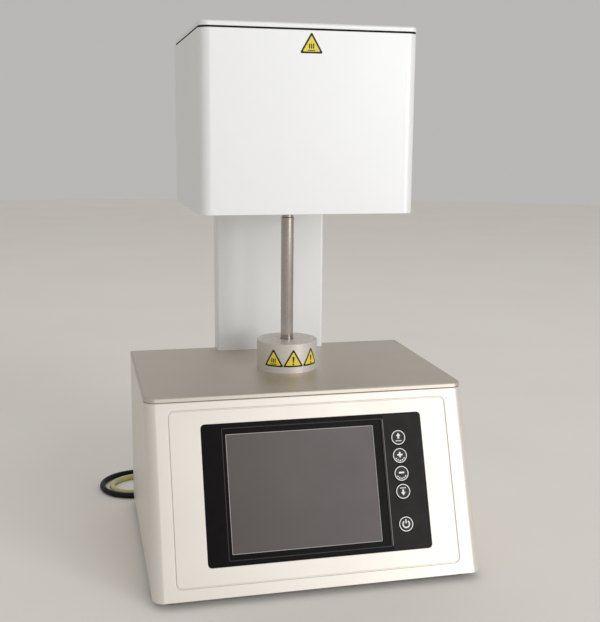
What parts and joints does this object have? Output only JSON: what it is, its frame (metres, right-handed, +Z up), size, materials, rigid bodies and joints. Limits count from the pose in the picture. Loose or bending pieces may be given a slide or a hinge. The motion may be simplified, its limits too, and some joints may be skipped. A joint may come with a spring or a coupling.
{
  "type": "benchtop porcelain furnace",
  "caption": "Benchtop furnace: a polished rod lifts the firing table into a box-shaped head above a base with a sloping touch panel and round keys.",
  "frame": {"origin": "on the table under the middle of the base's box, midway in x and in y", "axes": "+Z up, the sloping panel faces -Y, +X to the right as seen from the front"},
  "size_m": [0.3895, 0.4222, 0.574],
  "materials": {
    "cover_paint": "pearl white satin",
    "top_paint": "silver grey satin",
    "head_paint": "white satin",
    "rear_paint": "light grey satin",
    "floor_sheet": "zinc plated sheet",
    "foot_rubber": "matt",
    "winding": "varnished tape",
    "board": "solder mask",
    "bezel_gloss": "gloss",
    "screen": "unlit display behind glass",
    "display_can": "stamped sheet",
    "key_cap": "fine matt",
    "collar_metal": "bead blasted",
    "bush": "turned",
    "rod_steel": "ground and polished",
    "carriage_metal": "milled",
    "screw_steel": "rolled thread",
    "belt_rubber": "matt",
    "motor_case": "black lacquer",
    "table_steel": "turned stainless",
    "seal_silicone": "matt silicone",
    "fibre_board": "pressed fibre",
    "tray_ceramic": "unglazed",
    "quartz": "frosted quartz",
    "heater_wire": "oxidised wire",
    "socket_plastic": "fine matt",
    "rocker_plastic": "gloss",
    "grille_wire": "plated wire",
    "fitting_metal": "nickel plated",
    "screw_head": "zinc plated",
    "cord_black": "matt jacket",
    "hose_clear": "clear silicone gone yellow",
    "sticker_yellow": "printed vinyl film",
    "sticker_black": "printed vinyl film",
    "print_white": "screen print",
    "film_charcoal": "satin film",
    "outline_grey": "display edge",
    "tie_black": "hook-and-loop tape"
  },
  "bodies": {
    "housing": {"base_cover": "cover_paint", "inset_plate": "cover_paint", "top_plate": "top_paint", "head_cover": "head_paint", "head_lid": "head_paint", "column_shell": "head_paint", "rear_panel": "rear_paint", "column_back": "rear_paint", "head_back": "rear_paint", "head_floor": "rear_paint", "base_floor": "floor_sheet", "mast": "floor_sheet", "lift_brackets": "floor_sheet", "chamber_jacket": "floor_sheet", "feet": "foot_rubber", "transformer": "winding", "power_board": "board", "control_boards": "board", "bezel": "bezel_gloss", "screen_glass": "screen", "display_module": "display_can", "collar": "collar_metal", "guide_bush": "bush", "drive_belt": "belt_rubber", "lid_seal": "belt_rubber", "lift_motor": "motor_case", "chamber_flange": "table_steel", "insulation": "fibre_board", "thermocouple": "tray_ceramic", "heating_muffle": "quartz", "heating_coil": "heater_wire", "mains_inlet": "socket_plastic", "switch_frame": "socket_plastic", "fan_frame": "socket_plastic", "fan_grille": "grille_wire", "hose_fitting": "fitting_metal", "hose_end": "fitting_metal", "rear_screws": "screw_head", "mains_connector": "cord_black", "mains_lead": "cord_black", "mains_coil": "cord_black", "mains_plug": "cord_black", "vacuum_hose": "hose_clear", "hose_coil": "hose_clear"},
    "lift": {"lift_rod": "rod_steel", "lift_carriage": "carriage_metal", "lift_nut": "bush", "firing_table": "table_steel", "table_seal": "seal_silicone", "table_plinth": "fibre_board"},
    "tray": {"firing_tray": "tray_ceramic"},
    "screw": {"lead_screw": "screw_steel"},
    "motor_shaft": {"motor_pulley": "carriage_metal"},
    "up_button": {"key_up": "key_cap"},
    "plus_button": {"key_plus": "key_cap"},
    "minus_button": {"key_minus": "key_cap"},
    "down_button": {"key_down": "key_cap"},
    "power_button": {"key_power": "key_cap"},
    "rocker": {"switch_rocker": "rocker_plastic"},
    "fan": {"fan_rotor": "socket_plastic"}
  },
  "joints": [
    {"name": "lift_slide", "type": "slide", "parent": "housing", "child": "lift", "axis": [0, 0, 1], "range_m": [-0.147, 0]},
    {"name": "tray_lift", "type": "slide", "parent": "lift", "child": "tray", "axis": [0, 0, 1], "range_m": [0, 0.03]},
    {"name": "screw_spin", "type": "hinge", "parent": "housing", "child": "screw", "pos_m": [0, 0.0695, 0.1], "axis": [0, 0, 1], "range_deg": [-10, 6625]},
    {"name": "motor_spin", "type": "hinge", "parent": "housing", "child": "motor_shaft", "pos_m": [0.062, 0.0695, 0.03], "axis": [0, 0, 1], "range_deg": [-10, 6625]},
    {"name": "up_press", "type": "slide", "parent": "housing", "child": "up_button", "axis": [0, 0.9335, -0.3587], "range_m": [0, 0.0006], "stiffness_N_per_m": 1500},
    {"name": "plus_press", "type": "slide", "parent": "housing", "child": "plus_button", "axis": [0, 0.9335, -0.3587], "range_m": [0, 0.0006], "stiffness_N_per_m": 1500},
    {"name": "minus_press", "type": "slide", "parent": "housing", "child": "minus_button", "axis": [0, 0.9335, -0.3587], "range_m": [0, 0.0006], "stiffness_N_per_m": 1500},
    {"name": "down_press", "type": "slide", "parent": "housing", "child": "down_button", "axis": [0, 0.9335, -0.3587], "range_m": [0, 0.0006], "stiffness_N_per_m": 1500},
    {"name": "power_press", "type": "slide", "parent": "housing", "child": "power_button", "axis": [0, 0.9335, -0.3587], "range_m": [0, 0.0006], "stiffness_N_per_m": 1500},
    {"name": "switch_rock", "type": "hinge", "parent": "housing", "child": "rocker", "pos_m": [-0.118, 0.139, 0.15], "axis": [1, 0, 0], "range_deg": [0, 14]},
    {"name": "fan_spin", "type": "hinge", "parent": "housing", "child": "fan", "pos_m": [0.095, 0.1345, 0.11], "axis": [0, 1, 0], "continuous": true}
  ],
  "couplings": [
    {"joint": "screw_spin", "follows": "lift_slide", "rad_per_m": -785.4},
    {"joint": "motor_spin", "follows": "lift_slide", "rad_per_m": -785.4}
  ]
}
